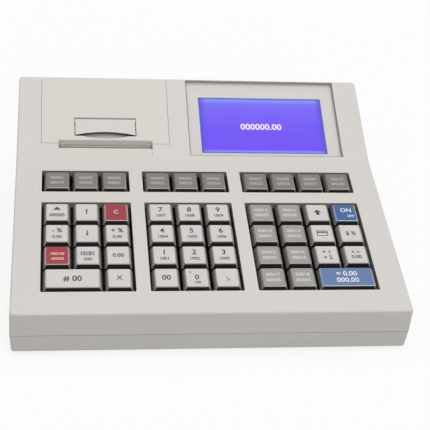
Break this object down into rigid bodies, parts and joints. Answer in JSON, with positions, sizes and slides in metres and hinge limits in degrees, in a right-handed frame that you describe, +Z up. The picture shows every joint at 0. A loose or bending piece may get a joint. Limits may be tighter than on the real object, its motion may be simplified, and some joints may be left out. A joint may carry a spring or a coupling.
{
  "type": "electronic cash register",
  "caption": "Wedge-shaped desktop cash register: moulded case, flush hinged ticket printer cover with latch and paper slot, recessed display window and blocks of sprung keys.",
  "frame": {"origin": "middle of the footprint, on the surface the register stands on", "axes": "+X to the operator's right, +Y towards the back, +Z up; the operator sits on the -Y side"},
  "size_m": [0.2458, 0.197, 0.0844],
  "materials": {
    "case_plastic": "fine moulded texture",
    "base_plastic": "fine moulded texture",
    "keys_white": "clear cap over a paper label",
    "keys_grey": "clear cap over a paper label",
    "keys_red": "clear cap over a paper label",
    "keys_blue": "clear cap over a paper label",
    "keys_light_blue": "clear cap over a paper label",
    "board": "green circuit board",
    "roller_rubber": "ground rubber",
    "mechanism_steel": "plated sheet",
    "paper": "smooth thermal paper",
    "clear_window": "clear, polished",
    "display": "lit violet-blue graphic display",
    "dark_display": "smoked lens"
  },
  "bodies": {
    "case": {"upper_housing": "case_plastic", "lower_housing": "base_plastic", "key_switch_board": "board", "print_mechanism": "mechanism_steel", "display_window": "clear_window", "lcd_module": "display", "main_board": "board", "customer_display": "dark_display"},
    "key_item_01": {"key_item_01": "keys_grey"},
    "key_item_02": {"key_item_02": "keys_grey"},
    "key_item_03": {"key_item_03": "keys_grey"},
    "key_item_04": {"key_item_04": "keys_grey"},
    "key_item_05": {"key_item_05": "keys_grey"},
    "key_item_06": {"key_item_06": "keys_grey"},
    "key_item_07": {"key_item_07": "keys_grey"},
    "key_item_08": {"key_item_08": "keys_grey"},
    "key_item_09": {"key_item_09": "keys_grey"},
    "key_item_10": {"key_item_10": "keys_grey"},
    "key_item_11": {"key_item_11": "keys_grey"},
    "key_item_12": {"key_item_12": "keys_grey"},
    "key_item_13": {"key_item_13": "keys_grey"},
    "key_item_14": {"key_item_14": "keys_grey"},
    "key_item_15": {"key_item_15": "keys_grey"},
    "key_item_16": {"key_item_16": "keys_grey"},
    "key_item_17": {"key_item_17": "keys_grey"},
    "key_item_18": {"key_item_18": "keys_grey"},
    "key_paper_feed": {"key_paper_feed": "keys_white"},
    "key_up": {"key_up": "keys_white"},
    "key_clear": {"key_clear": "keys_red"},
    "key_minus_percent": {"key_minus_percent": "keys_white"},
    "key_down": {"key_down": "keys_white"},
    "key_plus_percent": {"key_plus_percent": "keys_white"},
    "key_void": {"key_void": "keys_red"},
    "key_barcode": {"key_barcode": "keys_white"},
    "key_price": {"key_price": "keys_white"},
    "key_lookup": {"key_lookup": "keys_white"},
    "key_multiply": {"key_multiply": "keys_white"},
    "key_7": {"key_7": "keys_white"},
    "key_8": {"key_8": "keys_white"},
    "key_9": {"key_9": "keys_white"},
    "key_4": {"key_4": "keys_white"},
    "key_5": {"key_5": "keys_white"},
    "key_6": {"key_6": "keys_white"},
    "key_1": {"key_1": "keys_white"},
    "key_2": {"key_2": "keys_white"},
    "key_3": {"key_3": "keys_white"},
    "key_00": {"key_00": "keys_white"},
    "key_0": {"key_0": "keys_white"},
    "key_point": {"key_point": "keys_white"},
    "key_shift": {"key_shift": "keys_white"},
    "key_on": {"key_on": "keys_blue"},
    "key_card": {"key_card": "keys_white"},
    "key_currency": {"key_currency": "keys_white"},
    "key_payment": {"key_payment": "keys_white"},
    "key_subtotal": {"key_subtotal": "keys_white"},
    "key_total": {"key_total": "keys_light_blue"},
    "printer_cover": {"printer_cover": "case_plastic"},
    "cover_latch": {"cover_latch": "case_plastic"},
    "platen_roller": {"platen_roller": "roller_rubber"},
    "paper_roll": {"paper_roll": "paper"}
  },
  "joints": [
    {"name": "key_item_01_press", "type": "slide", "parent": "case", "child": "key_item_01", "axis": [0, 0.1736, -0.9848], "range_m": [0, 0.003], "stiffness_N_per_m": 150, "springref_m": -0.002},
    {"name": "key_item_02_press", "type": "slide", "parent": "case", "child": "key_item_02", "axis": [0, 0.1736, -0.9848], "range_m": [0, 0.003], "stiffness_N_per_m": 150, "springref_m": -0.002},
    {"name": "key_item_03_press", "type": "slide", "parent": "case", "child": "key_item_03", "axis": [0, 0.1736, -0.9848], "range_m": [0, 0.003], "stiffness_N_per_m": 150, "springref_m": -0.002},
    {"name": "key_item_04_press", "type": "slide", "parent": "case", "child": "key_item_04", "axis": [0, 0.1736, -0.9848], "range_m": [0, 0.003], "stiffness_N_per_m": 150, "springref_m": -0.002},
    {"name": "key_item_05_press", "type": "slide", "parent": "case", "child": "key_item_05", "axis": [0, 0.1736, -0.9848], "range_m": [0, 0.003], "stiffness_N_per_m": 150, "springref_m": -0.002},
    {"name": "key_item_06_press", "type": "slide", "parent": "case", "child": "key_item_06", "axis": [0, 0.1736, -0.9848], "range_m": [0, 0.003], "stiffness_N_per_m": 150, "springref_m": -0.002},
    {"name": "key_item_07_press", "type": "slide", "parent": "case", "child": "key_item_07", "axis": [0, 0.1736, -0.9848], "range_m": [0, 0.003], "stiffness_N_per_m": 150, "springref_m": -0.002},
    {"name": "key_item_08_press", "type": "slide", "parent": "case", "child": "key_item_08", "axis": [0, 0.1736, -0.9848], "range_m": [0, 0.003], "stiffness_N_per_m": 150, "springref_m": -0.002},
    {"name": "key_item_09_press", "type": "slide", "parent": "case", "child": "key_item_09", "axis": [0, 0.1736, -0.9848], "range_m": [0, 0.003], "stiffness_N_per_m": 150, "springref_m": -0.002},
    {"name": "key_item_10_press", "type": "slide", "parent": "case", "child": "key_item_10", "axis": [0, 0.1736, -0.9848], "range_m": [0, 0.003], "stiffness_N_per_m": 150, "springref_m": -0.002},
    {"name": "key_item_11_press", "type": "slide", "parent": "case", "child": "key_item_11", "axis": [0, 0.1736, -0.9848], "range_m": [0, 0.003], "stiffness_N_per_m": 150, "springref_m": -0.002},
    {"name": "key_item_12_press", "type": "slide", "parent": "case", "child": "key_item_12", "axis": [0, 0.1736, -0.9848], "range_m": [0, 0.003], "stiffness_N_per_m": 150, "springref_m": -0.002},
    {"name": "key_item_13_press", "type": "slide", "parent": "case", "child": "key_item_13", "axis": [0, 0.1736, -0.9848], "range_m": [0, 0.003], "stiffness_N_per_m": 150, "springref_m": -0.002},
    {"name": "key_item_14_press", "type": "slide", "parent": "case", "child": "key_item_14", "axis": [0, 0.1736, -0.9848], "range_m": [0, 0.003], "stiffness_N_per_m": 150, "springref_m": -0.002},
    {"name": "key_item_15_press", "type": "slide", "parent": "case", "child": "key_item_15", "axis": [0, 0.1736, -0.9848], "range_m": [0, 0.003], "stiffness_N_per_m": 150, "springref_m": -0.002},
    {"name": "key_item_16_press", "type": "slide", "parent": "case", "child": "key_item_16", "axis": [0, 0.1736, -0.9848], "range_m": [0, 0.003], "stiffness_N_per_m": 150, "springref_m": -0.002},
    {"name": "key_item_17_press", "type": "slide", "parent": "case", "child": "key_item_17", "axis": [0, 0.1736, -0.9848], "range_m": [0, 0.003], "stiffness_N_per_m": 150, "springref_m": -0.002},
    {"name": "key_item_18_press", "type": "slide", "parent": "case", "child": "key_item_18", "axis": [0, 0.1736, -0.9848], "range_m": [0, 0.003], "stiffness_N_per_m": 150, "springref_m": -0.002},
    {"name": "key_paper_feed_press", "type": "slide", "parent": "case", "child": "key_paper_feed", "axis": [0, 0.1736, -0.9848], "range_m": [0, 0.003], "stiffness_N_per_m": 150, "springref_m": -0.002},
    {"name": "key_up_press", "type": "slide", "parent": "case", "child": "key_up", "axis": [0, 0.1736, -0.9848], "range_m": [0, 0.003], "stiffness_N_per_m": 150, "springref_m": -0.002},
    {"name": "key_clear_press", "type": "slide", "parent": "case", "child": "key_clear", "axis": [0, 0.1736, -0.9848], "range_m": [0, 0.003], "stiffness_N_per_m": 150, "springref_m": -0.002},
    {"name": "key_minus_percent_press", "type": "slide", "parent": "case", "child": "key_minus_percent", "axis": [0, 0.1736, -0.9848], "range_m": [0, 0.003], "stiffness_N_per_m": 150, "springref_m": -0.002},
    {"name": "key_down_press", "type": "slide", "parent": "case", "child": "key_down", "axis": [0, 0.1736, -0.9848], "range_m": [0, 0.003], "stiffness_N_per_m": 150, "springref_m": -0.002},
    {"name": "key_plus_percent_press", "type": "slide", "parent": "case", "child": "key_plus_percent", "axis": [0, 0.1736, -0.9848], "range_m": [0, 0.003], "stiffness_N_per_m": 150, "springref_m": -0.002},
    {"name": "key_void_press", "type": "slide", "parent": "case", "child": "key_void", "axis": [0, 0.1736, -0.9848], "range_m": [0, 0.003], "stiffness_N_per_m": 150, "springref_m": -0.002},
    {"name": "key_barcode_press", "type": "slide", "parent": "case", "child": "key_barcode", "axis": [0, 0.1736, -0.9848], "range_m": [0, 0.003], "stiffness_N_per_m": 150, "springref_m": -0.002},
    {"name": "key_price_press", "type": "slide", "parent": "case", "child": "key_price", "axis": [0, 0.1736, -0.9848], "range_m": [0, 0.003], "stiffness_N_per_m": 150, "springref_m": -0.002},
    {"name": "key_lookup_press", "type": "slide", "parent": "case", "child": "key_lookup", "axis": [0, 0.1736, -0.9848], "range_m": [0, 0.003], "stiffness_N_per_m": 150, "springref_m": -0.002},
    {"name": "key_multiply_press", "type": "slide", "parent": "case", "child": "key_multiply", "axis": [0, 0.1736, -0.9848], "range_m": [0, 0.003], "stiffness_N_per_m": 150, "springref_m": -0.002},
    {"name": "key_7_press", "type": "slide", "parent": "case", "child": "key_7", "axis": [0, 0.1736, -0.9848], "range_m": [0, 0.003], "stiffness_N_per_m": 150, "springref_m": -0.002},
    {"name": "key_8_press", "type": "slide", "parent": "case", "child": "key_8", "axis": [0, 0.1736, -0.9848], "range_m": [0, 0.003], "stiffness_N_per_m": 150, "springref_m": -0.002},
    {"name": "key_9_press", "type": "slide", "parent": "case", "child": "key_9", "axis": [0, 0.1736, -0.9848], "range_m": [0, 0.003], "stiffness_N_per_m": 150, "springref_m": -0.002},
    {"name": "key_4_press", "type": "slide", "parent": "case", "child": "key_4", "axis": [0, 0.1736, -0.9848], "range_m": [0, 0.003], "stiffness_N_per_m": 150, "springref_m": -0.002},
    {"name": "key_5_press", "type": "slide", "parent": "case", "child": "key_5", "axis": [0, 0.1736, -0.9848], "range_m": [0, 0.003], "stiffness_N_per_m": 150, "springref_m": -0.002},
    {"name": "key_6_press", "type": "slide", "parent": "case", "child": "key_6", "axis": [0, 0.1736, -0.9848], "range_m": [0, 0.003], "stiffness_N_per_m": 150, "springref_m": -0.002},
    {"name": "key_1_press", "type": "slide", "parent": "case", "child": "key_1", "axis": [0, 0.1736, -0.9848], "range_m": [0, 0.003], "stiffness_N_per_m": 150, "springref_m": -0.002},
    {"name": "key_2_press", "type": "slide", "parent": "case", "child": "key_2", "axis": [0, 0.1736, -0.9848], "range_m": [0, 0.003], "stiffness_N_per_m": 150, "springref_m": -0.002},
    {"name": "key_3_press", "type": "slide", "parent": "case", "child": "key_3", "axis": [0, 0.1736, -0.9848], "range_m": [0, 0.003], "stiffness_N_per_m": 150, "springref_m": -0.002},
    {"name": "key_00_press", "type": "slide", "parent": "case", "child": "key_00", "axis": [0, 0.1736, -0.9848], "range_m": [0, 0.003], "stiffness_N_per_m": 150, "springref_m": -0.002},
    {"name": "key_0_press", "type": "slide", "parent": "case", "child": "key_0", "axis": [0, 0.1736, -0.9848], "range_m": [0, 0.003], "stiffness_N_per_m": 150, "springref_m": -0.002},
    {"name": "key_point_press", "type": "slide", "parent": "case", "child": "key_point", "axis": [0, 0.1736, -0.9848], "range_m": [0, 0.003], "stiffness_N_per_m": 150, "springref_m": -0.002},
    {"name": "key_shift_press", "type": "slide", "parent": "case", "child": "key_shift", "axis": [0, 0.1736, -0.9848], "range_m": [0, 0.003], "stiffness_N_per_m": 150, "springref_m": -0.002},
    {"name": "key_on_press", "type": "slide", "parent": "case", "child": "key_on", "axis": [0, 0.1736, -0.9848], "range_m": [0, 0.003], "stiffness_N_per_m": 150, "springref_m": -0.002},
    {"name": "key_card_press", "type": "slide", "parent": "case", "child": "key_card", "axis": [0, 0.1736, -0.9848], "range_m": [0, 0.003], "stiffness_N_per_m": 150, "springref_m": -0.002},
    {"name": "key_currency_press", "type": "slide", "parent": "case", "child": "key_currency", "axis": [0, 0.1736, -0.9848], "range_m": [0, 0.003], "stiffness_N_per_m": 150, "springref_m": -0.002},
    {"name": "key_payment_press", "type": "slide", "parent": "case", "child": "key_payment", "axis": [0, 0.1736, -0.9848], "range_m": [0, 0.003], "stiffness_N_per_m": 150, "springref_m": -0.002},
    {"name": "key_subtotal_press", "type": "slide", "parent": "case", "child": "key_subtotal", "axis": [0, 0.1736, -0.9848], "range_m": [0, 0.003], "stiffness_N_per_m": 150, "springref_m": -0.002},
    {"name": "key_total_press", "type": "slide", "parent": "case", "child": "key_total", "axis": [0, 0.1736, -0.9848], "range_m": [0, 0.003], "stiffness_N_per_m": 150, "springref_m": -0.002},
    {"name": "cover_hinge", "type": "hinge", "parent": "case", "child": "printer_cover", "pos_m": [-0.0617, 0.093, 0.07801], "axis": [-1, 0, 0], "range_deg": [0, 95]},
    {"name": "latch_lift", "type": "hinge", "parent": "printer_cover", "child": "cover_latch", "pos_m": [-0.0617, 0.06529, 0.06773], "axis": [-1, 0, 0], "range_deg": [0, 25], "stiffness_Nm_per_rad": 0.02, "springref_deg": -11.46},
    {"name": "platen_spin", "type": "hinge", "parent": "printer_cover", "child": "platen_roller", "pos_m": [-0.0617, 0.05749, 0.05302], "axis": [-1, 0, 0], "continuous": true},
    {"name": "roll_spin", "type": "hinge", "parent": "case", "child": "paper_roll", "pos_m": [-0.0617, 0.07192, 0.0308], "axis": [-1, 0, 0], "continuous": true}
  ]
}
